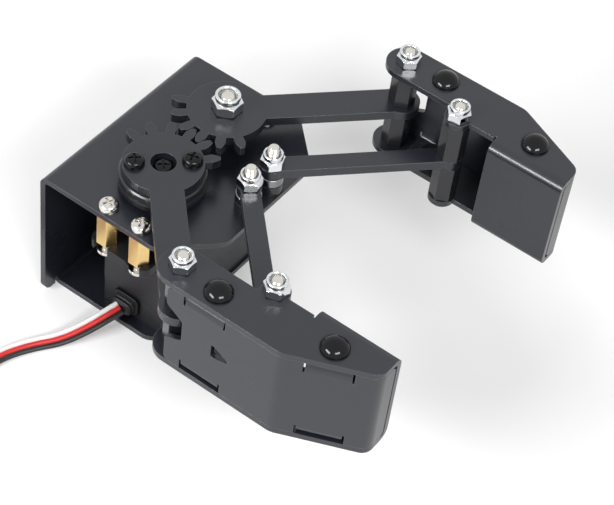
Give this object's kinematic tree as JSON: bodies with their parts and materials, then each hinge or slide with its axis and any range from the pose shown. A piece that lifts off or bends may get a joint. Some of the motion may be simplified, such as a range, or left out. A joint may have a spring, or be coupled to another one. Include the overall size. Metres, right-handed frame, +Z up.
{
  "type": "two-finger parallel robot gripper",
  "caption": "Servo-driven parallel gripper: folded black bracket, meshed gear arms and links that carry two folded sheet-metal fingers with flat pads.",
  "frame": {"origin": "centre of the wrist bolt circle on the outer face of the bracket's back wall", "axes": "+X out of the wrist towards the finger tips, +Y towards the idle gear arm, +Z up, from the bracket's foot to its deck"},
  "size_m": [0.1487, 0.1459, 0.0671],
  "materials": {
    "black_sheet": "satin black anodised or sprayed sheet, rolled edges slightly brighter",
    "black_plastic": "fine-grained black moulding",
    "black_anodised": "turned, satin black",
    "black_fastener": "glossy black domed rivets and pan screws",
    "steel": "bright zinc plate",
    "brass": "machined brass",
    "lead": "soft PVC insulation, white, red and black wires side by side"
  },
  "bodies": {
    "base": {"bracket": "black_sheet", "servo_bottom_cover": "black_plastic", "servo_middle_case": "black_plastic", "servo_top_cover": "black_plastic", "servo_case_screws": "steel", "servo_lead_boss": "black_plastic", "servo_lead": "lead", "servo_lead_coil": "lead", "servo_lead_plug": "black_plastic", "standoffs": "brass", "deck_screws": "steel", "ear_screws": "steel", "idle_pivot_bush": "black_anodised", "idle_pivot_screw": "steel", "idle_pivot_nut": "steel", "link_screws": "steel", "link_collars": "black_anodised", "link_spacers": "steel", "link_nuts": "steel"},
    "drive_arm": {"drive_gear_arm": "black_sheet", "servo_horn": "black_anodised", "servo_spline": "steel", "horn_screws": "black_fastener", "horn_centre_screw": "black_fastener"},
    "idle_arm": {"idle_gear_arm": "black_sheet"},
    "right_link": {"right_link": "black_sheet"},
    "left_link": {"left_link": "black_sheet"},
    "right_finger": {"right_finger_channel": "black_sheet", "right_finger_cover": "black_sheet", "right_finger_rivets": "black_fastener", "right_finger_upper_spacers": "black_anodised", "right_finger_lower_spacers": "black_anodised", "right_finger_screws": "steel", "right_finger_nuts": "steel"},
    "left_finger": {"left_finger_channel": "black_sheet", "left_finger_cover": "black_sheet", "left_finger_rivets": "black_fastener", "left_finger_upper_spacers": "black_anodised", "left_finger_lower_spacers": "black_anodised", "left_finger_screws": "steel", "left_finger_nuts": "steel"}
  },
  "joints": [
    {"name": "drive_arm_swing", "type": "hinge", "parent": "base", "child": "drive_arm", "pos_m": [0.024, -0.01238, 0.02775], "axis": [0, 0, 1], "range_deg": [-12, 47.3]},
    {"name": "idle_arm_swing", "type": "hinge", "parent": "base", "child": "idle_arm", "pos_m": [0.024, 0.01238, 0.02775], "axis": [0, 0, 1], "range_deg": [-47.3, 12]},
    {"name": "right_link_swing", "type": "hinge", "parent": "base", "child": "right_link", "pos_m": [0.044, -0.0045, 0.02775], "axis": [0, 0, 1], "range_deg": [-12, 47.3]},
    {"name": "left_link_swing", "type": "hinge", "parent": "base", "child": "left_link", "pos_m": [0.044, 0.0045, 0.02775], "axis": [0, 0, 1], "range_deg": [-47.3, 12]},
    {"name": "right_finger_pivot", "type": "hinge", "parent": "drive_arm", "child": "right_finger", "pos_m": [0.05468, -0.04447, 0.02775], "axis": [0, 0, 1], "range_deg": [-47.3, 12]},
    {"name": "left_finger_pivot", "type": "hinge", "parent": "idle_arm", "child": "left_finger", "pos_m": [0.05468, 0.04447, 0.02775], "axis": [0, 0, 1], "range_deg": [-12, 47.3]}
  ],
  "couplings": [
    {"joint": "idle_arm_swing", "follows": "drive_arm_swing", "ratio": -1},
    {"joint": "right_link_swing", "follows": "drive_arm_swing", "ratio": 1},
    {"joint": "left_link_swing", "follows": "drive_arm_swing", "ratio": -1},
    {"joint": "right_finger_pivot", "follows": "drive_arm_swing", "ratio": -1},
    {"joint": "left_finger_pivot", "follows": "drive_arm_swing", "ratio": 1}
  ]
}
